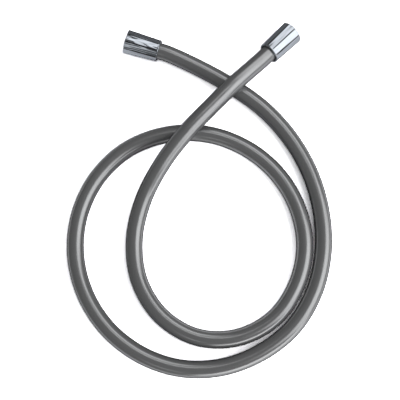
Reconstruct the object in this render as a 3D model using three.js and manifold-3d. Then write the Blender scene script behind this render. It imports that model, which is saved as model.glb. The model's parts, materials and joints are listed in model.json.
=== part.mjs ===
// Shower hose: a smooth PVC hose lying in loose loops on a table, with a tapered swivel nut at each end.
// Millimetres, +Z up, the table is z = 0 and the origin is under the middle of the lying hose.
import * as THREE from 'three';
import { mergeVertices } from 'three/addons/utils/BufferGeometryUtils.js';
import Module from 'manifold-3d';

const wasm = await Module();
wasm.setup();

// Hose
const HOSE_OD = 16;
const HOSE_BORE = 9.2;
const HOSE_SIDES = 12;
const HOSE_STEPS = 74;
const NECK_OD = 15; // the hose end, squeezed under its ferrule
const CROSSING_GAP = 0.4; // between a strand and the strand that lies on it

// Clearances
const SEAT_GAP = 0.3; // between pieces that seat on each other, along the axis
const SLEEVE_GAP = 0.3; // between ferrule and hose, and between barbs and hose, on the radius
const SWIVEL_GAP = 0.35; // between the nut's bore and what it turns on, on the radius
const FLANGE_GAP = 0.2; // between the thread bore and the pieces inside it, on the radius

// Swivel nut, for a G1/2 thread
const NUT_LENGTH = 33;
const NUT_MOUTH_D = 24;
const NUT_REAR_D = 21.2;
const NUT_FLATS = 10;
const FLAT_DEPTH_MOUTH = 0.45; // how far the flats cut in from the cone
const FLAT_DEPTH_REAR = 0.3;
const THREAD_BORE_D = 18.63; // minor diameter of the thread
const THREAD_DEPTH = 13.5; // from the mouth to the shoulder
const LEAD_IN = 0.8; // chamfer at the start of the thread
const MOUTH_EDGE = 0.5;
const COLLAR_LENGTH = 1.6; // round lip behind the flats
const COLLAR_ROUND = 0.7;
const GROOVE_DEPTH = 0.4; // fine groove between neighbouring flats
const GROOVE_START = 1.2; // from the mouth
const REAR_HOLE_D = 17.7;
const REAR_HOLE_LENGTH = 2;

// Hose tail, the flanged and barbed insert in the hose end
const FLANGE_LENGTH = 1.6;
const TAIL_BORE = 6;
const TAIL_LENGTH = 18;
const BARB_COUNT = 4;
const BARB_DEPTH = 0.45;
const BARB_PITCH = 4;

// Crimped ferrule over the hose end
const FERRULE_LENGTH = 15;
const FERRULE_WALL = 0.45;
const CRIMP_COUNT = 3;
const CRIMP_DEPTH = 0.2;
const CRIMP_WIDTH = 1.6;

// Sealing washer
const WASHER_THICKNESS = 2;
const WASHER_BORE = 11;

// Where the hose ends lie on the table, which way their mouths point, and the roll of each nut
const OUTLET_END = { x: -57.5, y: 146.2, heading: 163.4, roll: 0 };
const HANDSET_END = { x: 79, y: 149.5, heading: 45.6, roll: -8.4 };
const HANDSET_PITCH = 10; // the handset end comes down from the crossing onto the edge of its nut
const STRAIGHT_RUN = 8; // of hose behind each nut

// The hose's route between its ends, chosen by hand: x, y, and how far it is lifted, in strands
const ROUTE = [
  [-2.3, 125.2, 0.035], [30, 106.7, 0.005], [60.5, 84.1, 0], [85.3, 55.5, 0], [103.4, 22, 0],
  [113.2, -14.7, 0], [114.2, -52.5, 0], [105, -89.4, 0], [84.9, -121.5, 0], [55.2, -144.2, 0],
  [19.7, -157.2, 0], [-18.1, -157.9, 0], [-53.8, -145.7, 0], [-83.9, -122.6, 0], [-104.8, -91.2, 0],
  [-114.5, -54.6, 0], [-111.4, -16.9, 0], [-95.5, 17.6, 0], [-68.3, 44.2, 0], [-33.2, 58.3, 0],
  [5, 59.4, 0], [41, 47.1, 0], [70.7, 23.3, 0], [90.3, -9.2, 0], [97.3, -46.4, 0],
  [89.1, -83, 0], [67.4, -113.8, 0], [33.5, -130.9, 0], [-3.1, -130.1, 0], [-35.4, -110.9, 0],
  [-55.4, -79.1, 0.005], [-60.3, -41.6, 0.06], [-52.2, -4.9, 0.29], [-34.7, 27.9, 0.74], [-11.5, 57.9, 1],
  [14.6, 85.4, 1.05], [30.1, 101.2, 1.045],
];

const STEEL_GREY = { color: 0x5c5e60, roughness: 0.35, metalness: 0.6 };
const CHROME = { color: 0xd4d8dc, roughness: 0.08, metalness: 1 };
const BRASS = { color: 0xb8965a, roughness: 0.35, metalness: 1 };
const STAINLESS = { color: 0xa9abad, roughness: 0.3, metalness: 1 };
const RUBBER = { color: 0x1c1c1d, roughness: 0.85, metalness: 0 };

const hoseRadius = HOSE_OD / 2;
const neckRadius = NECK_OD / 2;
const boreRadius = HOSE_BORE / 2;
const ferruleInner = neckRadius + SLEEVE_GAP;
const ferruleOuter = ferruleInner + FERRULE_WALL;
const neckLength = FERRULE_LENGTH + SEAT_GAP;
const threadRadius = THREAD_BORE_D / 2;
const flangeRadius = threadRadius - FLANGE_GAP;
const swivelRadius = ferruleOuter + SWIVEL_GAP;
const rearHoleRadius = REAR_HOLE_D / 2;
const mouthRadius = NUT_MOUTH_D / 2;
const rearRadius = NUT_REAR_D / 2;
const mouthApothem = mouthRadius - FLAT_DEPTH_MOUTH;
const rearApothem = rearRadius - FLAT_DEPTH_REAR;
// Along each end's own axis, 0 is the cut end of the hose and +Y points out of the nut's mouth
const mouthY = THREAD_DEPTH;
const rearY = THREAD_DEPTH - NUT_LENGTH;
const collarY = rearY + COLLAR_LENGTH;
const edgeY = mouthY - MOUTH_EDGE;
const edgeApothem = mouthApothem - (mouthApothem - rearApothem) * (MOUTH_EDGE / NUT_LENGTH);

// Points of an arc about (x, y), from one angle to another in degrees
function arc(x, y, radius, from, to, count) {
  return Array.from({ length: count + 1 }, (_, i) => {
    const angle = THREE.MathUtils.degToRad(from + ((to - from) * i) / count);
    return new THREE.Vector2(x + radius * Math.cos(angle), y + radius * Math.sin(angle));
  });
}

// A body of revolution about Y from a closed profile of [radius, y] pairs or Vector2s
function turned(profile, segments = 40) {
  const points = profile.map((p) => (Array.isArray(p) ? new THREE.Vector2(...p) : p));
  return new THREE.LatheGeometry([...points, points[0].clone()], segments);
}

function toSolid(geometry) {
  const bare = geometry.clone();
  bare.deleteAttribute('normal');
  bare.deleteAttribute('uv');
  const merged = mergeVertices(bare, 1e-4);
  return new wasm.Manifold(new wasm.Mesh({
    numProp: 3,
    vertProperties: new Float32Array(merged.attributes.position.array),
    triVerts: new Uint32Array(merged.index.array),
  }));
}

function toGeometry(solid) {
  const mesh = solid.getMesh();
  const geometry = new THREE.BufferGeometry();
  geometry.setAttribute('position', new THREE.BufferAttribute(mesh.vertProperties, 3));
  geometry.setIndex(new THREE.BufferAttribute(mesh.triVerts, 1));
  geometry.computeVertexNormals();
  return geometry;
}

function named(name, geometry, finish) {
  const mesh = new THREE.Mesh(geometry, new THREE.MeshStandardMaterial(finish));
  mesh.name = name;
  return mesh;
}

// The cone's outline with a rounded collar at the rear and a broken edge at the mouth, and inside it
// the thread's bore, the shoulder that pulls on the flange, and the hole that the hose comes out of
function nutBody() {
  return toSolid(turned([
    [rearHoleRadius, rearY],
    ...arc(rearRadius - COLLAR_ROUND, rearY + COLLAR_ROUND, COLLAR_ROUND, -90, 0, 4),
    [rearRadius, collarY],
    [mouthRadius, edgeY],
    [mouthRadius - MOUTH_EDGE, mouthY],
    [threadRadius + LEAD_IN, mouthY],
    [threadRadius, mouthY - LEAD_IN],
    [threadRadius, 0],
    [swivelRadius, 0],
    [swivelRadius, rearY + REAR_HOLE_LENGTH],
    [rearHoleRadius, rearY + REAR_HOLE_LENGTH - (rearHoleRadius - swivelRadius)],
  ]));
}

// A tapered prism whose faces are the nut's flats, open to the full round at the collar
function flatsOutline() {
  const corner = 1 / Math.cos(Math.PI / NUT_FLATS);
  const prism = new THREE.CylinderGeometry(
    mouthApothem * corner, rearApothem * corner, NUT_LENGTH, NUT_FLATS, 1, false, Math.PI / NUT_FLATS);
  prism.translate(0, (mouthY + rearY) / 2, 0);
  const lip = new THREE.CylinderGeometry(mouthRadius, mouthRadius, COLLAR_LENGTH, NUT_FLATS * 4);
  lip.translate(0, rearY + COLLAR_LENGTH / 2, 0);
  return toSolid(prism).add(toSolid(lip));
}

// A square bar laid corner first along the cone, which cuts one groove between two flats
function groove(index) {
  const front = mouthY - GROOVE_START;
  const slope = Math.atan2(mouthRadius - rearRadius, NUT_LENGTH);
  const length = front - collarY;
  const bar = new THREE.CylinderGeometry(GROOVE_DEPTH, GROOVE_DEPTH, length, 4, 1, false, 0);
  const middle = (front + collarY) / 2;
  const radius = rearRadius + (mouthRadius - rearRadius) * ((middle - rearY) / NUT_LENGTH);
  bar.rotateX(slope);
  bar.translate(0, middle, radius);
  bar.rotateY((2 * Math.PI * (index + 0.5)) / NUT_FLATS);
  return toSolid(bar);
}

function nutGeometry() {
  let nut = nutBody().intersect(flatsOutline());
  for (let i = 0; i < NUT_FLATS; i++) nut = nut.subtract(groove(i));
  return toGeometry(nut);
}

// Flange, shank and barbs in one turning, bored through for the water
function tailGeometry() {
  const crest = boreRadius * Math.cos(Math.PI / HOSE_SIDES) - SLEEVE_GAP;
  const root = crest - BARB_DEPTH;
  const tip = SEAT_GAP - TAIL_LENGTH;
  const barbs = Array.from({ length: BARB_COUNT }, (_, i) => {
    const y = tip + i * BARB_PITCH;
    return [[root, y], [crest, y + BARB_PITCH * 0.75], [root, y + BARB_PITCH * 0.8]];
  }).flat();
  return turned([
    [TAIL_BORE / 2, tip],
    ...barbs,
    [root, SEAT_GAP],
    [flangeRadius, SEAT_GAP],
    [flangeRadius, SEAT_GAP + FLANGE_LENGTH],
    [TAIL_BORE / 2, SEAT_GAP + FLANGE_LENGTH],
  ], 24);
}

// A thin sleeve with shallow rings where it was crimped onto the hose
function ferruleGeometry() {
  const pitch = FERRULE_LENGTH / (CRIMP_COUNT + 1);
  const crimps = Array.from({ length: CRIMP_COUNT }, (_, i) => {
    const y = (i + 1) * pitch - FERRULE_LENGTH;
    return [
      [ferruleOuter, y - CRIMP_WIDTH / 2],
      [ferruleOuter - CRIMP_DEPTH, y - CRIMP_WIDTH / 4],
      [ferruleOuter - CRIMP_DEPTH, y + CRIMP_WIDTH / 4],
      [ferruleOuter, y + CRIMP_WIDTH / 2],
    ];
  }).flat();
  return turned([
    [ferruleInner, -FERRULE_LENGTH],
    [ferruleOuter, -FERRULE_LENGTH],
    ...crimps,
    [ferruleOuter, 0],
    [ferruleInner, 0],
  ], 32);
}

function washerGeometry() {
  const back = SEAT_GAP + FLANGE_LENGTH + SEAT_GAP;
  const front = back + WASHER_THICKNESS;
  return turned([[WASHER_BORE / 2, back], [flangeRadius, back], [flangeRadius, front], [WASHER_BORE / 2, front]], 32);
}

// How each end lies: the outlet nut on a flat and its collar, the handset nut on the edge of its mouth
function poseOf(end, pitch, height) {
  const heading = THREE.MathUtils.degToRad(end.heading);
  const level = Math.cos(pitch);
  const outward = new THREE.Vector3(level * Math.cos(heading), level * Math.sin(heading), Math.sin(pitch));
  return { origin: new THREE.Vector3(end.x, end.y, height), outward, roll: THREE.MathUtils.degToRad(end.roll) };
}

function lyingPose(end) {
  const heel = rearY + COLLAR_ROUND;
  const pitch = Math.atan2(edgeApothem - rearRadius, edgeY - heel);
  return poseOf(end, pitch, (rearRadius - heel * Math.tan(pitch)) * Math.cos(pitch));
}

function leaningPose(end) {
  const pitch = THREE.MathUtils.degToRad(HANDSET_PITCH);
  const corner = Math.PI / NUT_FLATS - THREE.MathUtils.degToRad(Math.abs(end.roll));
  const land = Math.PI / NUT_FLATS - Math.acos(edgeApothem / mouthRadius);
  const reach = mouthRadius * Math.cos(Math.max(0, corner - land));
  return poseOf(end, -pitch, edgeY * Math.sin(pitch) + reach * Math.cos(pitch));
}

// Hose centre points at one end, from its cut end inwards: coaxial with the nut and straight behind it
function straightPoints(pose) {
  return [0, rearY, rearY - STRAIGHT_RUN].map((y) => pose.origin.clone().addScaledVector(pose.outward, y));
}

function hosePath(outlet, handset) {
  const strand = HOSE_OD + CROSSING_GAP;
  const middle = ROUTE.map(([x, y, lift]) => new THREE.Vector3(x, y, hoseRadius + lift * strand));
  return new THREE.CatmullRomCurve3([
    ...straightPoints(outlet), ...middle, ...straightPoints(handset).reverse(),
  ], false, 'centripetal');
}

function ring(radius) {
  return Array.from({ length: HOSE_SIDES }, (_, i) => {
    const angle = (2 * Math.PI * i) / HOSE_SIDES;
    return new THREE.Vector2(radius * Math.cos(angle), radius * Math.sin(angle));
  });
}

// Turns local +Y to the end's outward direction and keeps local +Z as near to straight up as it goes
function endGroup(pose) {
  const up = new THREE.Vector3(0, 0, 1);
  const side = new THREE.Vector3().crossVectors(pose.outward, up).normalize();
  up.crossVectors(side, pose.outward);
  const group = new THREE.Group();
  group.position.copy(pose.origin);
  group.quaternion.setFromRotationMatrix(new THREE.Matrix4().makeBasis(side, pose.outward, up));
  return group;
}

// The sleeve of hose wall that the ferrule has squeezed away, in the end's own frame
function squeezedWall(pose) {
  const outer = hoseRadius + SEAT_GAP;
  const wall = turned([[neckRadius, -neckLength], [outer, -neckLength], [outer, SEAT_GAP], [neckRadius, SEAT_GAP]]);
  const group = endGroup(pose);
  group.updateMatrix();
  return toSolid(wall.applyMatrix4(group.matrix));
}

function hoseGeometry(outlet, handset) {
  const section = new THREE.Shape(ring(hoseRadius));
  section.holes.push(new THREE.Path(ring(boreRadius).reverse()));
  const tube = new THREE.ExtrudeGeometry(section, {
    steps: HOSE_STEPS, extrudePath: hosePath(outlet, handset), bevelEnabled: false,
  });
  return toGeometry(toSolid(tube).subtract(squeezedWall(outlet)).subtract(squeezedWall(handset)));
}

// One hose end with its insert, ferrule, washer and swivel nut
function endAssembly(name, pose) {
  const group = endGroup(pose);
  group.add(named(`${name}_hose_tail`, tailGeometry(), BRASS));
  group.add(named(`${name}_ferrule`, ferruleGeometry(), STAINLESS));
  group.add(named(`${name}_seal_washer`, washerGeometry(), RUBBER));
  const nut = named(`${name}_swivel_nut`, nutGeometry(), CHROME);
  nut.rotation.y = pose.roll;
  group.add(nut);
  return group;
}

const outletPose = lyingPose(OUTLET_END);
const handsetPose = leaningPose(HANDSET_END);
const showerHose = new THREE.Group();
showerHose.add(named('hose', hoseGeometry(outletPose, handsetPose), STEEL_GREY));
showerHose.add(endAssembly('outlet', outletPose));
showerHose.add(endAssembly('handset', handsetPose));

export default showerHose;
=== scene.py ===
"""A smooth metallic-grey shower hose lying in loose loops, with a chromed swivel nut at each end.

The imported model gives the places: each end's axis is its nut's hinge. This script gives the looks.
All lengths are in metres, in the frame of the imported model: +Z up, the floor is z = 0.
"""

import json
import logging
import math
from collections.abc import Iterable, Sequence
from dataclasses import dataclass, field
from enum import Enum
from typing import NamedTuple

import bmesh
import bpy
from mathutils import Matrix, Vector


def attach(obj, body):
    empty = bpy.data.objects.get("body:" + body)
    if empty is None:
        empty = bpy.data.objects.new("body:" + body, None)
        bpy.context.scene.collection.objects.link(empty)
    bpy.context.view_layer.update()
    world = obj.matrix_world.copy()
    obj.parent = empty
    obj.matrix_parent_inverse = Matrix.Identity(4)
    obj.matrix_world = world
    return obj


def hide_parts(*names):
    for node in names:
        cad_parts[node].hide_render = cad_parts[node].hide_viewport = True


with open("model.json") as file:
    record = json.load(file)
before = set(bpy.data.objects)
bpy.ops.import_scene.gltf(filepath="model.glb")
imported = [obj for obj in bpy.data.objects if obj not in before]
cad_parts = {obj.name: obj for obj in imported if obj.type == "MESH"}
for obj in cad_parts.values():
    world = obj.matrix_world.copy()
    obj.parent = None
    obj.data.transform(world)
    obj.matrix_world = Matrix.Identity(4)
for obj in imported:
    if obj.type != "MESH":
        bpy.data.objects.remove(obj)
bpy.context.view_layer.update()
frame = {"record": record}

ROOT_BODY = "hose_assembly"
MM = 0.001
SAME_POINT = 1e-7  # closer than this, two points are one
OWN_PLACE = "own_place"
OWN_UV = "round_and_along"
WHITE = (1.0, 1.0, 1.0, 1.0)

Point = tuple[float, float]

log = logging.getLogger("shower_hose")


class End(Enum):
    """The two ends of the hose, by the names that their pieces start with."""

    OUTLET = "outlet"
    HANDSET = "handset"


class Slot(Enum):
    """The record's material slots."""

    HOSE = "hose_wall"
    NUT = "chrome_nut"
    INSERT = "brass_insert"
    FERRULE = "steel_ferrule"
    WASHER = "washer_rubber"


def linear(hex_colour: str) -> tuple[float, float, float, float]:
    """Turns an sRGB hex colour into linear light.

    Args:
        hex_colour: six hex digits, such as "8a8c8f".

    Returns:
        The linear red, green and blue, with an alpha of one.
    """
    channels = [int(hex_colour[i : i + 2], 16) / 255 for i in (0, 2, 4)]
    curve = [c / 12.92 if c <= 0.04045 else ((c + 0.055) / 1.055) ** 2.4 for c in channels]
    return (curve[0], curve[1], curve[2], 1.0)


def add(
    tree: bpy.types.NodeTree, kind: str, inputs: dict | None = None, **settings: object,
) -> bpy.types.Node:
    """Adds one node with its settings, values and links.

    Args:
        tree: the node tree to add to.
        kind: the node's type, such as "ShaderNodeBump".
        inputs: input name or index to a value, or to the socket that feeds it.
        **settings: the node's own attributes.

    Returns:
        The new node.
    """
    made = tree.nodes.new(kind)
    for key, value in settings.items():
        setattr(made, key, value)
    for key, value in (inputs or {}).items():
        if isinstance(value, bpy.types.NodeSocket):
            tree.links.new(value, made.inputs[key])
        else:
            made.inputs[key].default_value = value
    return made


def new_material(name: str) -> tuple[bpy.types.Material, bpy.types.NodeTree]:
    """Makes an empty node material.

    Args:
        name: the material's name.

    Returns:
        The material and its cleared node tree.
    """
    material = bpy.data.materials.new(name)
    material.use_nodes = True
    material.node_tree.nodes.clear()
    return material, material.node_tree


def finish_material(tree: bpy.types.NodeTree, inputs: dict) -> None:
    """Adds the Principled shader and the output.

    Args:
        tree: the material's node tree.
        inputs: the shader's inputs, as for add().
    """
    shader = add(tree, "ShaderNodeBsdfPrincipled", inputs)
    add(tree, "ShaderNodeOutputMaterial", {"Surface": shader.outputs["BSDF"]})


@dataclass(frozen=True)
class MetallicPvc:
    """Extruded PVC hose with a metallised layer under a clear, satin outer skin.

    The eye sees a dark gunmetal body, one long soft streak of light, and in it the faint
    crosswise lines of the wound layer below the skin.
    """

    body: str = "b1b2b3"
    line_tone: float = 0.90
    line_pitch: float = 1.4 * MM
    line_swing: float = 0.5  # how much of the wave takes the tone from dark to light
    lean: float = 0.35  # how far the lines lean along the hose for each metre round it
    relief: float = 0.004 * MM
    cloud_size: float = 14 * MM
    cloud_detail: float = 3.0
    cloud_roughness: float = 0.6
    cloud_range: tuple[float, float] = (0.3, 0.7)
    metallic: float = 0.65
    roughness: tuple[float, float] = (0.17, 0.23)
    rim: str = "000000"  # no white sheen where the skin is seen edge-on

    def material(self) -> bpy.types.Material:
        """Builds the node material on the hose's own UV map, which is in metres."""
        material, tree = new_material("metallic_pvc_extruded")
        uv = add(tree, "ShaderNodeUVMap", uv_map=OWN_UV)
        split = add(tree, "ShaderNodeSeparateXYZ", {"Vector": uv.outputs["UV"]})
        along = add(
            tree, "ShaderNodeMath", {0: split.outputs["X"], 1: self.lean, 2: split.outputs["Y"]},
            operation="MULTIPLY_ADD",
        )
        phase = add(
            tree, "ShaderNodeMath", {0: along.outputs[0], 1: 2 * math.pi / self.line_pitch},
            operation="MULTIPLY",
        )
        wave = add(tree, "ShaderNodeMath", {0: phase.outputs[0]}, operation="SINE")
        cloud = add(
            tree, "ShaderNodeTexNoise",
            {"Vector": uv.outputs["UV"], "Scale": 1 / self.cloud_size,
             "Detail": self.cloud_detail, "Roughness": self.cloud_roughness},
        )
        height = add(
            tree, "ShaderNodeMath", {0: wave.outputs[0], 1: cloud.outputs["Fac"]},
            operation="MULTIPLY",
        )
        tone = add(
            tree, "ShaderNodeMapRange",
            {"Value": height.outputs[0], "From Min": -self.line_swing, "From Max": self.line_swing,
             "To Min": self.line_tone, "To Max": 1.0},
        )
        colour = add(
            tree, "ShaderNodeVectorMath",
            {0: linear(self.body)[:3], "Scale": tone.outputs["Result"]}, operation="SCALE",
        )
        haze = add(
            tree, "ShaderNodeMapRange",
            {"Value": cloud.outputs["Fac"],
             "From Min": self.cloud_range[0], "From Max": self.cloud_range[1],
             "To Min": self.roughness[0], "To Max": self.roughness[1]},
        )
        bump = add(tree, "ShaderNodeBump", {"Height": height.outputs[0], "Distance": self.relief})
        finish_material(tree, {
            "Base Color": colour.outputs[0],
            "Metallic": self.metallic,
            "Roughness": haze.outputs["Result"],
            "Specular Tint": linear(self.rim),
            "Normal": bump.outputs["Normal"],
        })
        return material


@dataclass(frozen=True)
class ChromePlate:
    """Bright chrome plated on polished brass.

    The eye sees a near-perfect mirror whose reflections run in streaks along the flats,
    from the long, shallow waves that the polishing belt leaves.
    """

    tint: str = "c4cad2"
    roughness: tuple[float, float] = (0.027, 0.0675)
    wave_across: float = 5 * MM
    wave_along: float = 30 * MM
    wave_height: float = 0.9 * MM

    def material(self) -> bpy.types.Material:
        """Builds the node material on the nut's own coordinates, whose Z is its axis."""
        material, tree = new_material("chrome_plate_polished")
        place = add(tree, "ShaderNodeAttribute", attribute_name=OWN_PLACE)
        density = (1 / self.wave_across, 1 / self.wave_across, 1 / self.wave_along)
        stretched = add(
            tree, "ShaderNodeVectorMath", {0: place.outputs["Vector"], 1: density},
            operation="MULTIPLY",
        )
        ripple = add(
            tree, "ShaderNodeTexNoise",
            {"Vector": stretched.outputs[0], "Scale": 1.0, "Detail": 1.0},
        )
        haze = add(
            tree, "ShaderNodeMapRange",
            {"Value": ripple.outputs["Fac"],
             "To Min": self.roughness[0], "To Max": self.roughness[1]},
        )
        bump = add(
            tree, "ShaderNodeBump", {"Height": ripple.outputs["Fac"], "Distance": self.wave_height},
        )
        finish_material(tree, {
            "Base Color": linear(self.tint),
            "Metallic": 1.0,
            "Roughness": haze.outputs["Result"],
            "Normal": bump.outputs["Normal"],
        })
        return material


@dataclass(frozen=True)
class GrooveShade:
    """The floor of a fine cast groove, coloured near black as painted shade.

    The eye sees a thin black line between two bright flats. That dark, which shade and dark
    reflections give in the groove, is painted into its colour.
    """

    # painted shade: both tones are near black, so that each groove reads as a dark line
    colour: str = "17181a"
    lighter: str = "2b2d30"
    lighten: tuple[float, float] = (0.35, 0.7)  # where in the noise the tone changes
    grain: float = 0.6 * MM
    grain_detail: float = 3.0
    relief: float = 0.02 * MM
    metallic: float = 0.8
    roughness: float = 0.55

    def material(self) -> bpy.types.Material:
        """Builds the node material on the nut's own coordinates."""
        material, tree = new_material("chrome_groove_painted_shade")
        place = add(tree, "ShaderNodeAttribute", attribute_name=OWN_PLACE)
        grit = add(
            tree, "ShaderNodeTexNoise",
            {"Vector": place.outputs["Vector"], "Scale": 1 / self.grain,
             "Detail": self.grain_detail},
        )
        tone = add(tree, "ShaderNodeValToRGB", {"Fac": grit.outputs["Fac"]})
        stops = zip(tone.color_ramp.elements, self.lighten, (self.colour, self.lighter))
        for stop, at, colour in stops:
            stop.position, stop.color = at, linear(colour)
        bump = add(tree, "ShaderNodeBump", {"Height": grit.outputs["Fac"], "Distance": self.relief})
        finish_material(tree, {
            "Base Color": tone.outputs["Color"],
            "Metallic": self.metallic,
            "Roughness": self.roughness,
            "Normal": bump.outputs["Normal"],
        })
        return material


@dataclass(frozen=True)
class TurnedMetal:
    """Bare metal as the machine leaves it: softly bright, with a fine grain and a little stain."""

    name: str
    colour: str
    roughness: float
    haze: tuple[float, float] = (0.7, 1.4)  # the least and the most roughness, as shares of it
    grain: float = 0.25 * MM
    relief: float = 0.01 * MM
    stain_size: float = 3 * MM
    stain_detail: float = 4.0
    stain_roughness: float = 0.65
    stain_range: tuple[float, float] = (0.3, 0.7)
    stain_tone: float = 0.82

    def material(self) -> bpy.types.Material:
        """Builds the node material on Object coordinates."""
        material, tree = new_material(self.name)
        place = add(tree, "ShaderNodeTexCoord")
        stain = add(
            tree, "ShaderNodeTexNoise",
            {"Vector": place.outputs["Object"], "Scale": 1 / self.stain_size,
             "Detail": self.stain_detail, "Roughness": self.stain_roughness},
        )
        fine = add(
            tree, "ShaderNodeTexNoise",
            {"Vector": place.outputs["Object"], "Scale": 1 / self.grain, "Detail": 1.0},
        )
        tone = add(
            tree, "ShaderNodeMapRange",
            {"Value": stain.outputs["Fac"],
             "From Min": self.stain_range[0], "From Max": self.stain_range[1],
             "To Min": self.stain_tone, "To Max": 1.0},
        )
        colour = add(
            tree, "ShaderNodeVectorMath",
            {0: linear(self.colour)[:3], "Scale": tone.outputs["Result"]}, operation="SCALE",
        )
        rough = add(
            tree, "ShaderNodeMapRange",
            {"Value": stain.outputs["Fac"],
             "To Min": self.roughness * self.haze[0], "To Max": self.roughness * self.haze[1]},
        )
        bump = add(tree, "ShaderNodeBump", {"Height": fine.outputs["Fac"], "Distance": self.relief})
        finish_material(tree, {
            "Base Color": colour.outputs[0],
            "Metallic": 1.0,
            "Roughness": rough.outputs["Result"],
            "Normal": bump.outputs["Normal"],
        })
        return material


@dataclass(frozen=True)
class MouldedRubber:
    """Black EPDM rubber, compression moulded, which the eye sees as dull, with a slight bloom."""

    colour: str = "232324"
    bloom: str = "39393a"
    blooming: tuple[float, float] = (0.4, 0.75)  # where in the noise the bloom starts and is full
    speckle: float = 0.8 * MM
    speckle_detail: float = 4.0
    speckle_roughness: float = 0.7
    relief: float = 0.03 * MM
    roughness: float = 0.78

    def material(self) -> bpy.types.Material:
        """Builds the node material on Object coordinates."""
        material, tree = new_material("epdm_rubber_moulded")
        place = add(tree, "ShaderNodeTexCoord")
        noise = add(
            tree, "ShaderNodeTexNoise",
            {"Vector": place.outputs["Object"], "Scale": 1 / self.speckle,
             "Detail": self.speckle_detail, "Roughness": self.speckle_roughness},
        )
        ramp = add(tree, "ShaderNodeValToRGB", {"Fac": noise.outputs["Fac"]})
        stops = zip(ramp.color_ramp.elements, self.blooming, (self.colour, self.bloom))
        for stop, at, colour in stops:
            stop.position, stop.color = at, linear(colour)
        bump = add(
            tree, "ShaderNodeBump", {"Height": noise.outputs["Fac"], "Distance": self.relief},
        )
        finish_material(tree, {
            "Base Color": ramp.outputs["Color"],
            "Roughness": self.roughness,
            "Normal": bump.outputs["Normal"],
        })
        return material


def deselect() -> None:
    """Leaves edit mode and deselects everything."""
    if bpy.context.object and bpy.context.object.mode != "OBJECT":
        bpy.ops.object.mode_set(mode="OBJECT")
    bpy.ops.object.select_all(action="DESELECT")


def choose(obj: bpy.types.Object) -> None:
    """Makes one object the only selected one, and active."""
    deselect()
    obj.select_set(True)
    bpy.context.view_layer.objects.active = obj


def bake_place() -> None:
    """Puts the place of the selected object into its mesh."""
    bpy.ops.object.transform_apply(location=True, rotation=True, scale=True)


def join(objects: Sequence[bpy.types.Object]) -> bpy.types.Object:
    """Joins objects into the first of them, and gives it back."""
    deselect()
    for obj in objects:
        obj.select_set(True)
    bpy.context.view_layer.objects.active = objects[0]
    bpy.ops.object.join()
    return objects[0]


def arc(centre: Point, radius: float, start: float, end: float, count: int) -> list[Point]:
    """Gives points on an arc of a turned profile.

    Args:
        centre: radius and height of the arc's centre.
        radius: the arc's radius.
        start: first angle, in degrees.
        end: last angle, in degrees.
        count: number of steps.

    Returns:
        count + 1 pairs of radius and height.
    """
    angles = [math.radians(start + (end - start) * i / count) for i in range(count + 1)]
    return [(centre[0] + radius * math.cos(a), centre[1] + radius * math.sin(a)) for a in angles]


def turn(name: str, profile: Sequence[Point], steps: int) -> bpy.types.Object:
    """Turns a closed profile about Z: one vertex is extruded along the profile, then spun.

    Args:
        name: the object's name.
        profile: pairs of radius and height, not repeating the first.
        steps: number of segments round.

    Returns:
        The closed solid, at the origin.
    """
    deselect()
    bpy.ops.mesh.primitive_plane_add(size=MM)
    obj = bpy.context.object
    obj.name = obj.data.name = name
    bpy.ops.object.mode_set(mode="EDIT")
    bpy.ops.mesh.select_mode(type="VERT")
    bpy.ops.mesh.select_all(action="SELECT")
    bpy.ops.mesh.merge(type="CENTER")
    corners = [Vector((r, 0, z)) for r, z in profile]
    bpy.ops.transform.translate(value=corners[0])
    for here, there in zip(corners, corners[1:] + corners[:1]):
        bpy.ops.mesh.extrude_vertices_move(TRANSFORM_OT_translate={"value": there - here})
    bpy.ops.mesh.select_all(action="SELECT")
    bpy.ops.mesh.remove_doubles(threshold=SAME_POINT)
    bpy.ops.mesh.spin(steps=steps, angle=2 * math.pi, center=(0, 0, 0), axis=(0, 0, 1))
    bpy.ops.mesh.select_all(action="SELECT")
    bpy.ops.mesh.remove_doubles(threshold=SAME_POINT)
    bpy.ops.mesh.normals_make_consistent(inside=False)
    bpy.ops.object.mode_set(mode="OBJECT")
    return obj


def combine(obj: bpy.types.Object, tool: bpy.types.Object, operation: str) -> None:
    """Applies a boolean and deletes the tool.

    Args:
        obj: the solid that is changed.
        tool: the solid that cuts it or joins it.
        operation: UNION, DIFFERENCE or INTERSECT.
    """
    choose(obj)
    modifier = obj.modifiers.new(operation.lower(), "BOOLEAN")
    modifier.operation = operation
    modifier.object = tool
    modifier.solver = "EXACT"
    modifier.material_mode = "TRANSFER"
    bpy.ops.object.modifier_apply(modifier=modifier.name)
    bpy.data.objects.remove(tool, do_unlink=True)


def dress(obj: bpy.types.Object, finish: bpy.types.Material) -> bpy.types.Object:
    """Gives a solid one finish all over.

    Args:
        obj: the solid.
        finish: its material.

    Returns:
        The solid.
    """
    obj.data.materials.clear()
    obj.data.materials.append(finish)
    return obj


def settle(obj: bpy.types.Object, place: Matrix, angle: float) -> None:
    """Puts a finished piece in its place, with the place in its mesh.

    Args:
        obj: the piece, modelled at the origin. Its own coordinates are kept for its finish.
        place: where it goes.
        angle: edges sharper than this, in degrees, stay sharp.
    """
    own = obj.data.attributes.new(OWN_PLACE, "FLOAT_VECTOR", "POINT")
    own.data.foreach_set("vector", [value for vertex in obj.data.vertices for value in vertex.co])
    obj.matrix_world = place
    choose(obj)
    bake_place()
    bpy.ops.object.shade_smooth_by_angle(angle=math.radians(angle), keep_sharp_edges=True)


def report(obj: bpy.types.Object) -> None:
    """Logs one finished piece."""
    log.info("%s: %d faces", obj.name, len(obj.data.polygons))


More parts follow.
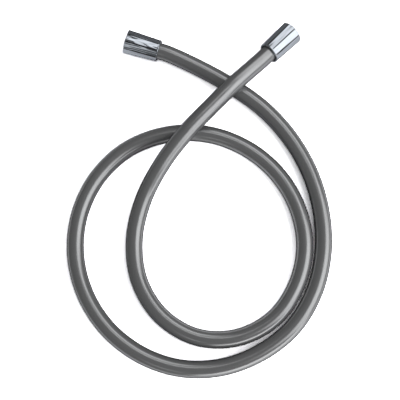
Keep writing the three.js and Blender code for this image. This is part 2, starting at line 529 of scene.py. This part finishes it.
@dataclass(frozen=True)
class EndFrame:
    """Where one end of the hose is: its hinge's point and axis, and the roll of its nut."""

    end: End
    roll: float = 0.0

    @property
    def joint(self) -> dict:
        """The hinge of this end's nut."""
        name = f"{self.end.value}_nut_swivel"
        return next(j for j in frame["record"]["behaviour"]["joints"] if j["name"] == name)

    @property
    def origin(self) -> Vector:
        """The cut end of the hose, on its axis."""
        return Vector(self.joint["pos_m"])

    @property
    def outward(self) -> Vector:
        """The way the nut's mouth points."""
        return Vector(self.joint["axis"]).normalized()

    def matrix(self) -> Matrix:
        """Gives the end's frame: X as near up as it goes, Z out of the nut's mouth."""
        side = self.outward.cross(Vector((0, 0, 1))).normalized()
        up = side.cross(self.outward)
        turned = Matrix((up, side, self.outward)).transposed().to_4x4()
        return Matrix.Translation(self.origin) @ turned

    def nut_matrix(self) -> Matrix:
        """Gives the frame of the nut, rolled about its axis."""
        return self.matrix() @ Matrix.Rotation(math.radians(self.roll), 4, "Z")

    def node(self, kind: str) -> str:
        """Gives the name of one of this end's nodes."""
        return f"{self.end.value}_{kind}"


@dataclass
class Fit:
    """The sizes that the end pieces share. Heights along the axis start at the hose's cut end."""

    hose_radius: float = 8 * MM
    neck_radius: float = 7.5 * MM
    bore_radius: float = 4.6 * MM
    neck_length: float = 15.3 * MM
    seat_gap: float = 0.3 * MM
    thread_radius: float = 9.315 * MM
    flange_radius: float = 9.115 * MM
    flange_length: float = 1.6 * MM
    ferrule_inner: float = 7.8 * MM
    ferrule_outer: float = 8.25 * MM
    swivel_radius: float = 8.6 * MM
    rear_hole_radius: float = 8.85 * MM
    nut_rear: float = -19.5 * MM


class Station(NamedTuple):
    """Where one ring of the hose is: its centre, two directions across, and how far along."""

    centre: Vector
    side: Vector
    other: Vector
    along: float


@dataclass
class Hose:
    """The hose itself: a thick tube along the route, necked where the ferrules squeeze it."""

    fit: Fit
    outlet: EndFrame
    handset: EndFrame
    finish: MetallicPvc = field(default_factory=MetallicPvc)
    straight_run: float = 8 * MM  # behind each nut
    strand: float = 16.4 * MM
    sides: int = 48
    bore_sides: int = 24
    span_steps: int = 40
    spacing: float = 2.2 * MM
    neck_step: float = 0.05 * MM  # half the length of the step at a neck's end
    sharp_angle: float = 40
    length: float = 1.48
    line: list[Vector] = field(default_factory=list, init=False)

    # The route between the ends: x and y in metres, and its lift in strands
    route: Sequence[tuple[float, float, float]] = (
        (-0.0023, 0.1252, 0.035), (0.03, 0.1067, 0.005), (0.0605, 0.0841, 0), (0.0853, 0.0555, 0),
        (0.1034, 0.022, 0), (0.1132, -0.0147, 0), (0.1142, -0.0525, 0), (0.105, -0.0894, 0),
        (0.0849, -0.1215, 0), (0.0552, -0.1442, 0), (0.0197, -0.1572, 0), (-0.0181, -0.1579, 0),
        (-0.0538, -0.1457, 0), (-0.0839, -0.1226, 0), (-0.1048, -0.0912, 0), (-0.1145, -0.0546, 0),
        (-0.1114, -0.0169, 0), (-0.0955, 0.0176, 0), (-0.0683, 0.0442, 0), (-0.0332, 0.0583, 0),
        (0.005, 0.0594, 0), (0.041, 0.0471, 0), (0.0707, 0.0233, 0), (0.0903, -0.0092, 0),
        (0.0973, -0.0464, 0), (0.0891, -0.083, 0), (0.0674, -0.1138, 0), (0.0335, -0.1309, 0),
        (-0.0031, -0.1301, 0), (-0.0354, -0.1109, 0), (-0.0554, -0.0791, 0.005),
        (-0.0603, -0.0416, 0.06), (-0.0522, -0.0049, 0.29), (-0.0347, 0.0279, 0.74),
        (-0.0115, 0.0579, 1), (0.0146, 0.0854, 1.05), (0.0301, 0.1012, 1.045),
    )

    def points(self) -> list[Vector]:
        """Gives the route's points: coaxial with each nut, and as listed between them."""
        def straight(end: EndFrame) -> list[Vector]:
            heights = (0.0, self.fit.nut_rear, self.fit.nut_rear - self.straight_run)
            return [end.origin + end.outward * height for height in heights]

        floor = self.fit.hose_radius
        lying = [Vector((x, y, floor + lift * self.strand)) for x, y, lift in self.route]
        return [*straight(self.outlet), *lying, *reversed(straight(self.handset))]

    def centre_line(self) -> list[Vector]:
        """Runs a smooth curve through the points, spaced evenly, with both ends exact."""
        knots = self.points()
        knots = [knots[0] * 2 - knots[1], *knots, knots[-1] * 2 - knots[-2]]
        fine: list[Vector] = []
        for four in zip(knots, knots[1:], knots[2:], knots[3:]):
            gaps = [math.sqrt((there - here).length) for here, there in zip(four, four[1:])]
            first, last = self.tangents(four, gaps)
            for i in range(self.span_steps):
                fine.append(self.hermite(four[1], four[2], first, last, i / self.span_steps))
        fine.append(knots[-2])
        return self.even(fine)

    @staticmethod
    def tangents(four: Sequence[Vector], gaps: Sequence[float]) -> tuple[Vector, Vector]:
        """Gives the end tangents of the middle one of three spans, for centripetal spacing.

        Args:
            four: four points in a row.
            gaps: the square roots of their distances.

        Returns:
            The tangents at the second and third points, for a span of one.
        """
        a, b, c, d = four
        before, own, after = gaps
        first = (b - a) / before - (c - a) / (before + own) + (c - b) / own
        last = (c - b) / own - (d - b) / (own + after) + (d - c) / after
        return first * own, last * own

    @staticmethod
    def hermite(start: Vector, end: Vector, first: Vector, last: Vector, t: float) -> Vector:
        """Gives a point of a cubic span.

        Args:
            start: the span's first point.
            end: its last point.
            first: the tangent at the start.
            last: the tangent at the end.
            t: how far along, from 0 to 1.
        """
        t2, t3 = t * t, t * t * t
        from_start = start * (2 * t3 - 3 * t2 + 1) + first * (t3 - 2 * t2 + t)
        return from_start + end * (3 * t2 - 2 * t3) + last * (t3 - t2)

    def even(self, line: Sequence[Vector]) -> list[Vector]:
        """Spaces a fine polyline's points evenly, one for each ring of the tube."""
        along = [0.0]
        for here, there in zip(line, line[1:]):
            along.append(along[-1] + (there - here).length)
        count = math.ceil(along[-1] / self.spacing)
        out, k = [], 0
        for i in range(count + 1):
            at = along[-1] * i / count
            while k < len(line) - 2 and along[k + 1] < at:
                k += 1
            share = (at - along[k]) / max(along[k + 1] - along[k], SAME_POINT)
            out.append(line[k].lerp(line[k + 1], min(share, 1.0)))
        return out

    def build(self) -> bpy.types.Object:
        """Builds the tube, dresses it and lets it stand for its node."""
        self.line = self.centre_line()
        obj = self.tube(self.line)
        choose(obj)
        bpy.ops.object.shade_smooth_by_angle(
            angle=math.radians(self.sharp_angle), keep_sharp_edges=True,
        )
        dress(obj, self.finish.material())
        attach(obj, ROOT_BODY)
        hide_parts("hose")
        report(obj)
        return obj

    def tube(self, line: Sequence[Vector]) -> bpy.types.Object:
        """Makes the tube's mesh: rings carried along the line without twisting.

        Args:
            line: the centre line.

        Returns:
            The tube, with a UV map in metres round and along it.
        """
        mesh = bpy.data.meshes.new("shower_hose_tube")
        obj = bpy.data.objects.new("shower_hose_tube", mesh)
        bpy.context.collection.objects.link(obj)
        work = bmesh.new()
        uv = work.loops.layers.uv.new(OWN_UV)
        side = self.outlet.outward.cross(Vector((0, 0, 1))).normalized()
        stations: list[Station] = []
        along = 0.0
        for i, centre in enumerate(line):
            ahead = (line[min(i + 1, len(line) - 1)] - line[max(i - 1, 0)]).normalized()
            side = (side - ahead * side.dot(ahead)).normalized()
            along += (centre - line[i - 1]).length if i else 0.0
            stations.append(Station(centre, side, ahead.cross(side), along))
        self.add_steps(stations)
        outer = self.shell(work, uv, stations, self.sides, self.outer_radius(stations))
        bore = [self.fit.bore_radius] * len(stations)
        inner = self.shell(work, uv, stations, self.bore_sides, bore, inside=True)
        for k in (0, -1):
            edges = [e for ring in (outer[k], inner[k]) for e in self.ring_edges(ring)]
            bmesh.ops.bridge_loops(work, edges=edges)
        bmesh.ops.recalc_face_normals(work, faces=work.faces)
        work.to_mesh(mesh)
        work.free()
        return obj

    def add_steps(self, stations: list[Station]) -> None:
        """Adds two stations close together at each neck's end, so that the step there is crisp."""
        total = stations[-1].along
        for mark in (self.fit.neck_length, total - self.fit.neck_length):
            for edge in (mark - self.neck_step, mark + self.neck_step):
                k = next(i for i, s in enumerate(stations) if s.along > edge)
                before, after = stations[k - 1], stations[k]
                share = (edge - before.along) / (after.along - before.along)
                centre = before.centre.lerp(after.centre, share)
                stations.insert(k, Station(centre, before.side, before.other, edge))

    def outer_radius(self, stations: Sequence[Station]) -> list[float]:
        """Gives the outer radius at each station: smaller in the necks."""
        body = (self.fit.neck_length, stations[-1].along - self.fit.neck_length)
        return [
            self.fit.hose_radius if body[0] <= s.along <= body[1] else self.fit.neck_radius
            for s in stations
        ]

    @staticmethod
    def ring_edges(ring: Sequence[bmesh.types.BMVert]) -> list[bmesh.types.BMEdge]:
        """Gives the edges between neighbours of a ring of vertices."""
        pairs = zip(ring, [*ring[1:], ring[0]])
        return [edge for a, b in pairs for edge in a.link_edges if edge.other_vert(a) is b]

    @staticmethod
    def shell(
        work: bmesh.types.BMesh, uv: bmesh.types.BMLayerItem, stations: Sequence[Station],
        sides: int, radii: Sequence[float], inside: bool = False,
    ) -> list[list[bmesh.types.BMVert]]:
        """Adds one wall of the tube.

        Args:
            work: the mesh in the making.
            uv: its UV layer.
            stations: one for each ring of the tube, in order.
            sides: vertices in a ring.
            radii: the radius of each ring.
            inside: True for the bore, whose faces look at the axis.

        Returns:
            The rings of vertices.
        """
        angles = [2 * math.pi * k / sides for k in range(sides)]
        rings = [
            [work.verts.new(c + (u * math.cos(a) + v * math.sin(a)) * r) for a in angles]
            for (c, u, v, _), r in zip(stations, radii)
        ]
        for i in range(len(rings) - 1):
            for k in range(sides):
                n = (k + 1) % sides
                corners = [rings[i][k], rings[i][n], rings[i + 1][n], rings[i + 1][k]]
                places = [(k, i), (k + 1, i), (k + 1, i + 1), (k, i + 1)]
                if inside:
                    corners.reverse()
                    places.reverse()
                face = work.faces.new(corners)
                for loop, (around, station) in zip(face.loops, places):
                    loop[uv].uv = (2 * math.pi * radii[i] * around / sides, stations[station].along)
        return rings


@dataclass
class SwivelNut:
    """A tapered nut with ten long flats, fine grooves between them and a pipe thread inside."""

    fit: Fit
    place: EndFrame
    chrome: bpy.types.Material
    # painted shade for the grooves' faces
    groove_shade: bpy.types.Material
    mouth_radius: float = 12 * MM
    rear_radius: float = 10.6 * MM
    mouth: float = 13.5 * MM
    flats: int = 10
    flat_depth_mouth: float = 0.45 * MM
    flat_depth_rear: float = 0.3 * MM
    collar_length: float = 1.6 * MM
    collar_round: float = 0.7 * MM
    collar_steps: int = 8
    mouth_round: float = 0.5 * MM
    mouth_steps: int = 5
    mouth_chamfer: float = 0.2 * MM
    lead_in: float = 0.8 * MM
    groove_depth: float = 0.5 * MM
    groove_sides: int = 10
    groove_start: float = 1.2 * MM
    rear_hole_length: float = 2 * MM
    thread_root: float = 10.45 * MM
    thread_pitch: float = 1.814 * MM
    thread_from: float = 4.6 * MM
    thread_steps: int = 96
    thread_bite: float = 0.1 * MM  # how deep the ridge's foot is in the wall
    crest: tuple[float, float] = (0.42, 0.55)  # where the ridge's flat crest is, in pitches
    foot: float = 0.97  # how wide the ridge is at its foot, in pitches
    steps: int = 160
    sharp_angle: float = 12

    @property
    def length(self) -> float:
        """The nut's length."""
        return self.mouth - self.fit.nut_rear

    def build(self) -> bpy.types.Object:
        """Builds the nut, dresses it and puts it on its hose end."""
        nut = dress(self.body(), self.chrome)
        combine(nut, dress(self.flats_outline(), self.chrome), "INTERSECT")
        # the grooves' faces take the painted shade of the groove material
        combine(nut, dress(self.grooves(), self.groove_shade), "DIFFERENCE")
        self.cut_thread(nut)
        nut.name = nut.data.name = self.place.node("chrome_nut")
        settle(nut, self.place.nut_matrix(), self.sharp_angle)
        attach(nut, f"{self.place.end.value}_nut")
        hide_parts(self.place.node("swivel_nut"))
        report(nut)
        return nut

    def body(self) -> bpy.types.Object:
        """Turns the cone with its rounded ends, its thread bore, its shoulder and its rear hole."""
        fit, rear, mouth = self.fit, self.fit.nut_rear, self.mouth
        lip = fit.rear_hole_radius - fit.swivel_radius
        collar, edge = self.collar_round, self.mouth_round
        return turn("nut_body", [
            (fit.rear_hole_radius, rear),
            *arc((self.rear_radius - collar, rear + collar), collar, -90, 0, self.collar_steps),
            (self.rear_radius, rear + self.collar_length),
            *arc((self.mouth_radius - edge, mouth - edge), edge, 0, 90, self.mouth_steps),
            (self.thread_root + self.mouth_chamfer, mouth),
            (self.thread_root, mouth - self.lead_in),
            (self.thread_root, self.thread_from),
            (fit.thread_radius, self.thread_from - self.lead_in),
            (fit.thread_radius, 0),
            (fit.swivel_radius, 0),
            (fit.swivel_radius, rear + self.rear_hole_length),
            (fit.rear_hole_radius, rear + self.rear_hole_length - lip),
        ], self.steps)

    def flats_outline(self) -> bpy.types.Object:
        """Makes the tapered prism of the flats, open to the full round at the collar."""
        corner = 1 / math.cos(math.pi / self.flats)
        deselect()
        bpy.ops.mesh.primitive_cone_add(
            vertices=self.flats, depth=self.length,
            location=(0, 0, (self.mouth + self.fit.nut_rear) / 2),
            radius1=(self.rear_radius - self.flat_depth_rear) * corner,
            radius2=(self.mouth_radius - self.flat_depth_mouth) * corner,
            rotation=(0, 0, self.half_flat()),
        )
        prism = bpy.context.object
        bake_place()
        deselect()
        bpy.ops.mesh.primitive_cylinder_add(
            vertices=self.steps, radius=self.mouth_radius, depth=self.collar_length + MM,
            location=(0, 0, self.fit.nut_rear + (self.collar_length - MM) / 2),
        )
        lip = bpy.context.object
        bake_place()
        combine(prism, lip, "UNION")
        return prism

    def half_flat(self) -> float:
        """Turns the primitive, whose first corner is on Y, so that a flat faces X."""
        return math.pi / 2 - math.pi / self.flats

    def grooves(self) -> bpy.types.Object:
        """Lays one small bar along the cone between each two flats, as one tool."""
        front = self.mouth - self.groove_start
        back = self.fit.nut_rear + self.collar_length
        slope = math.atan2(self.mouth_radius - self.rear_radius, self.length)
        middle = (front + back) / 2
        share = (middle - self.fit.nut_rear) / self.length
        radius = self.rear_radius + (self.mouth_radius - self.rear_radius) * share
        bars = []
        for i in range(self.flats):
            deselect()
            bpy.ops.mesh.primitive_cylinder_add(
                vertices=self.groove_sides, radius=self.groove_depth, depth=front - back,
            )
            bar = bpy.context.object
            leaning = Matrix.Translation((radius, 0, middle)) @ Matrix.Rotation(slope, 4, "Y")
            round_nut = Matrix.Rotation(2 * math.pi * (i + 0.5) / self.flats, 4, "Z")
            bar.matrix_world = round_nut @ leaning
            bake_place()
            bars.append(bar)
        return join(bars)

    def cut_thread(self, nut: bpy.types.Object) -> None:
        """Winds the thread's ridge up the nut's bore and joins it to the nut."""
        deselect()
        bpy.ops.mesh.primitive_circle_add(vertices=4, radius=MM)  # the ridge's four corners
        ridge = bpy.context.object
        low, high = self.thread_root + self.thread_bite, self.fit.thread_radius
        pitch = self.thread_pitch
        tooth = [
            (low, 0.0),
            (high, self.crest[0] * pitch),
            (high, self.crest[1] * pitch),
            (low, self.foot * pitch),
        ]
        for vertex, (radius, height) in zip(ridge.data.vertices, tooth):
            vertex.co = (radius, 0, self.thread_from + height)
        turns = math.floor((self.mouth - self.lead_in - self.thread_from) / pitch)
        screw = ridge.modifiers.new("wind", "SCREW")
        screw.axis, screw.angle, screw.screw_offset = "Z", 2 * math.pi, pitch
        screw.iterations = turns - 1
        screw.steps = screw.render_steps = self.thread_steps
        screw.use_merge_vertices = False
        bpy.ops.object.modifier_apply(modifier=screw.name)
        bpy.ops.object.mode_set(mode="EDIT")
        bpy.ops.mesh.select_mode(type="EDGE")
        bpy.ops.mesh.select_all(action="DESELECT")
        bpy.ops.mesh.select_non_manifold(extend=False)
        bpy.ops.mesh.fill_holes(sides=len(tooth))
        bpy.ops.mesh.select_all(action="SELECT")
        bpy.ops.mesh.normals_make_consistent(inside=False)
        bpy.ops.object.mode_set(mode="OBJECT")
        join([nut, dress(ridge, self.chrome)])


@dataclass
class EndPieces:
    """What each end holds inside its nut: the barbed tail, the crimped ferrule and the washer."""

    fit: Fit
    place: EndFrame
    brass: bpy.types.Material
    steel: bpy.types.Material
    rubber: bpy.types.Material
    tail_bore: float = 3 * MM
    tail_length: float = 18 * MM
    barb_count: int = 4
    barb_pitch: float = 4 * MM
    barb_crest: float = 4.143 * MM
    barb_root: float = 3.693 * MM
    barb_slope: tuple[float, float] = (0.75, 0.8)  # a barb's crest and its end, in pitches
    ferrule_length: float = 15 * MM
    crimp_count: int = 3
    crimp_depth: float = 0.2 * MM
    crimp_width: float = 1.6 * MM
    crimp_steps: int = 8
    ferrule_edge: float = 0.1 * MM
    washer_bore: float = 5.5 * MM
    washer_thickness: float = 2 * MM
    edge: float = 0.25 * MM
    edge_steps: int = 3
    steps: int = 72
    sharp_angle: float = 25

    def build(self) -> list[bpy.types.Object]:
        """Builds and places the three pieces."""
        return [
            self.seat(self.tail(), "hose_tail", "barbed_tail", self.brass),
            self.seat(self.ferrule(), "ferrule", "crimp_sleeve", self.steel),
            self.seat(self.washer(), "seal_washer", "flat_washer", self.rubber),
        ]

    def seat(
        self, obj: bpy.types.Object, node: str, name: str, finish: bpy.types.Material,
    ) -> bpy.types.Object:
        """Names one piece, puts it in its place and lets it stand for its node.

        Args:
            obj: the piece, at the origin.
            node: the last part of its node's name.
            name: the last part of its own name.
            finish: its material.

        Returns:
            The piece.
        """
        obj.name = obj.data.name = self.place.node(name)
        dress(obj, finish)
        settle(obj, self.place.matrix(), self.sharp_angle)
        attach(obj, ROOT_BODY)
        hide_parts(self.place.node(node))
        report(obj)
        return obj

    def tail(self) -> bpy.types.Object:
        """Turns the flange, the shank and its barbs, bored through for the water."""
        fit, edge = self.fit, self.edge
        tip = fit.seat_gap - self.tail_length
        barbs = []
        for i in range(self.barb_count):
            start = tip + i * self.barb_pitch
            barbs += [
                (self.barb_root, start),
                (self.barb_crest, start + self.barb_slope[0] * self.barb_pitch),
                (self.barb_root, start + self.barb_slope[1] * self.barb_pitch),
            ]
        back, front = fit.seat_gap, fit.seat_gap + fit.flange_length
        return turn("tail", [
            (self.tail_bore, tip),
            *barbs,
            (self.barb_root, back),
            (fit.flange_radius - edge, back),
            (fit.flange_radius, back + edge),
            (fit.flange_radius, front - edge),
            (fit.flange_radius - edge, front),
            (self.tail_bore + edge, front),
            (self.tail_bore, front - edge),
        ], self.steps)

    def ferrule(self) -> bpy.types.Object:
        """Turns the thin sleeve with its rounded crimp rings."""
        fit = self.fit
        pitch = self.ferrule_length / (self.crimp_count + 1)
        crimps = []
        for i in range(self.crimp_count):
            middle = (i + 1) * pitch - self.ferrule_length
            for k in range(self.crimp_steps + 1):
                share = k / self.crimp_steps
                dip = self.crimp_depth * (1 - math.cos(2 * math.pi * share)) / 2
                crimps.append((fit.ferrule_outer - dip, middle + (share - 0.5) * self.crimp_width))
        return turn("ferrule", [
            (fit.ferrule_inner, -self.ferrule_length),
            (fit.ferrule_outer - self.ferrule_edge, -self.ferrule_length),
            (fit.ferrule_outer, self.ferrule_edge - self.ferrule_length),
            *crimps,
            (fit.ferrule_outer, 0),
            (fit.ferrule_inner, 0),
        ], self.steps)

    def washer(self) -> bpy.types.Object:
        """Turns the flat washer with its softened edges."""
        back = 2 * self.fit.seat_gap + self.fit.flange_length
        front = back + self.washer_thickness
        edge, steps = self.edge, self.edge_steps
        low, high = self.washer_bore + edge, self.fit.flange_radius - edge
        return turn("washer", [
            *arc((low, back + edge), edge, 180, 270, steps),
            *arc((high, back + edge), edge, 270, 360, steps),
            *arc((high, front - edge), edge, 0, 90, steps),
            *arc((low, front - edge), edge, 90, 180, steps),
        ], self.steps)


@dataclass
class PhotoCamera:
    """The camera of the photograph: high over the hose, looking down from its near side."""

    target: tuple[float, float, float] = (0.0004, -0.004, 0.008)
    elevation: float = 80.0
    distance: float = 0.78
    lens: float = 75.2
    sensor: float = 36.0
    clip: tuple[float, float] = (0.01, 50.0)

    def build(self) -> None:
        """Makes the camera and sets it as the scene's."""
        data = bpy.data.cameras.new("photo_camera")
        data.lens = self.lens
        data.sensor_width = self.sensor
        data.clip_start, data.clip_end = self.clip
        camera = bpy.data.objects.new("photo_camera", data)
        bpy.context.collection.objects.link(camera)
        raised = math.radians(self.elevation)
        back = Vector((0, -math.cos(raised), math.sin(raised)))
        camera.location = Vector(self.target) + back * self.distance
        camera.rotation_euler = (-back).to_track_quat("-Z", "Y").to_euler()
        bpy.context.scene.camera = camera


@dataclass(frozen=True)
class Softbox:
    """One rectangular softbox: where it hangs, its size, and the radiance of its hot spot."""

    place: tuple[float, float, float]
    size: tuple[float, float]
    radiance: float
    edge: float = 0.45  # how bright its cloth is at the corners, as a share of the hot spot
    fade: tuple[float, float] = (0.1, 0.7)  # where the spot starts and ends to fade, in box sizes

    def build(self, name: str) -> None:
        """Hangs the softbox, under its name, so that it faces the middle of the hose."""
        data = bpy.data.lights.new(name, "AREA")
        data.shape = "RECTANGLE"
        data.size, data.size_y = self.size
        data.energy = self.radiance * math.pi * self.size[0] * self.size[1]
        data.use_nodes = True
        self.cloth(data.node_tree)
        lamp = bpy.data.objects.new(name, data)
        lamp.visible_camera = False
        bpy.context.collection.objects.link(lamp)
        lamp.location = self.place
        lamp.rotation_euler = (-Vector(self.place)).to_track_quat("-Z", "Y").to_euler()

    def cloth(self, tree: bpy.types.NodeTree) -> None:
        """Makes the softbox's cloth brightest in the middle."""
        tree.nodes.clear()
        middle = (0.5, 0.5, 0)
        spot = add(tree, "ShaderNodeNewGeometry")
        away = add(
            tree, "ShaderNodeVectorMath", {0: spot.outputs["Parametric"], 1: middle},
            operation="DISTANCE",
        )
        glow = add(
            tree, "ShaderNodeMapRange",
            {"Value": away.outputs["Value"], "From Min": self.fade[0], "From Max": self.fade[1],
             "To Min": 1.0, "To Max": self.edge},
            interpolation_type="SMOOTHSTEP",
        )
        emit = add(tree, "ShaderNodeEmission", {"Color": WHITE, "Strength": glow.outputs["Result"]})
        add(tree, "ShaderNodeOutputLight", {"Surface": emit.outputs[0]})


@dataclass
class Studio:
    """White paper under a crescent of softboxes, from behind over the right side to the front."""

    lamps: dict[str, Softbox] = field(default_factory=lambda: {
        "key_softbox": Softbox((1.45, -0.24, 1.36), (1.9, 2.1), 1.6),
        "top_softbox": Softbox((0.2, 0.63, 1.88), (0.7, 0.4), 1.3),
        "back_softbox": Softbox((0.72, 1.14, 1.48), (1.7, 0.8), 1.25),
        "front_softbox": Softbox((0.95, -1.68, 0.42), (2.3, 1.0), 1.9),
        "left_softbox": Softbox((-0.5, -1.45, 1.2), (0.5, 0.3), 0.65),
    })
    room: float = 0.13
    floor_size: float = 3.4
    paper: str = "e7e7e9"
    exposure: float = 8.5  # how much lighter the floor is to the camera than it lights the hose
    mirrored: tuple[float, float] = (2.0, 0.4)  # the same in mirrors, for its front and its back: painted light in front, painted shade behind
    graded: tuple[float, float] = (0.13, 0.2)  # the depths at which that change starts and ends
    contact_reach: float = 0.05  # how near the hose the floor takes painted shade in mirrors
    contact_power: float = 2.8
    contact_samples: int = 8

    def build(self) -> None:
        """Builds the floor, the lamps and the surroundings."""
        bpy.context.scene.view_settings.view_transform = "Standard"
        self.floor()
        for name, box in self.lamps.items():
            box.build(name)
        self.world()

    def floor(self) -> None:
        """Lays the floor: white but for its shadow to the camera, and in mirrors painted light in
        front, painted shade behind and near the hose.
        """
        deselect()
        bpy.ops.mesh.primitive_plane_add(size=self.floor_size)
        floor = bpy.context.object
        floor.name = "studio_floor"
        material, tree = new_material("white_sweep")
        path = add(tree, "ShaderNodeLightPath")
        tone = add(
            tree, "ShaderNodeMath",
            {0: path.outputs["Is Camera Ray"], 1: self.exposure - 1, 2: 1.0},
            operation="MULTIPLY_ADD",
        )
        place = add(tree, "ShaderNodeTexCoord")
        depth = add(tree, "ShaderNodeSeparateXYZ", {"Vector": place.outputs["Object"]})
        # painted light and shade: in mirrors the floor is lighter in front and darker behind
        graded = add(
            tree, "ShaderNodeMapRange",
            {"Value": depth.outputs["Y"], "From Min": self.graded[0], "From Max": self.graded[1],
             "To Min": self.mirrored[0], "To Max": self.mirrored[1]},
        )
        # painted shade: in mirrors the floor darkens near the hose, by how little open sky it sees
        # there
        sky = add(
            tree, "ShaderNodeAmbientOcclusion", {"Distance": self.contact_reach},
            samples=self.contact_samples,
        )
        contact_shade = add(
            tree, "ShaderNodeMath", {0: sky.outputs["AO"], 1: self.contact_power},
            operation="POWER",
        )
        mirrored = add(
            tree, "ShaderNodeMath",
            {0: graded.outputs["Result"], 1: contact_shade.outputs[0], 2: -1.0},
            operation="MULTIPLY_ADD",
        )
        tone = add(
            tree, "ShaderNodeMath",
            {0: path.outputs["Is Glossy Ray"], 1: mirrored.outputs[0], 2: tone.outputs[0]},
            operation="MULTIPLY_ADD",
        )
        paper = add(
            tree, "ShaderNodeVectorMath",
            {0: linear(self.paper)[:3], "Scale": tone.outputs[0]}, operation="SCALE",
        )
        surface = add(tree, "ShaderNodeBsdfDiffuse", {"Color": paper.outputs[0]})
        add(tree, "ShaderNodeOutputMaterial", {"Surface": surface.outputs[0]})
        floor.data.materials.append(material)

    def world(self) -> None:
        """Surrounds the set with a dim grey room that the camera sees as white."""
        world = bpy.data.worlds.new("studio_room")
        bpy.context.scene.world = world
        world.use_nodes = True
        tree = world.node_tree
        tree.nodes.clear()
        path = add(tree, "ShaderNodeLightPath")
        room = add(tree, "ShaderNodeBackground", {"Color": WHITE, "Strength": self.room})
        white = add(tree, "ShaderNodeBackground", {"Color": WHITE, "Strength": 1.0})
        mixed = add(
            tree, "ShaderNodeMixShader",
            {0: path.outputs["Is Camera Ray"], 1: room.outputs[0], 2: white.outputs[0]},
        )
        add(tree, "ShaderNodeOutputWorld", {"Surface": mixed.outputs[0]})


def main() -> None:
    """Builds the camera, the hose, its two ends and the studio, in that order."""
    logging.basicConfig(level=logging.INFO, format="%(message)s")
    PhotoCamera().build()
    fit = Fit()
    outlet, handset = EndFrame(End.OUTLET), EndFrame(End.HANDSET, roll=-8.4)
    hose = Hose(fit, outlet, handset)
    tube = hose.build()
    chrome = ChromePlate().material()
    # the painted shade of the nuts' grooves
    groove = GrooveShade().material()
    brass = TurnedMetal("brass_turned", colour="b8965a", roughness=0.3).material()
    steel = TurnedMetal("stainless_steel_drawn", colour="a9abad", roughness=0.25).material()
    rubber = MouldedRubber().material()
    pieces: list[bpy.types.Object] = []
    for place in (outlet, handset):
        pieces += EndPieces(fit, place, brass, steel, rubber).build()
        pieces.append(SwivelNut(fit, place, chrome, groove).build())
    Studio().build()


if __name__ == "__main__":
    main()
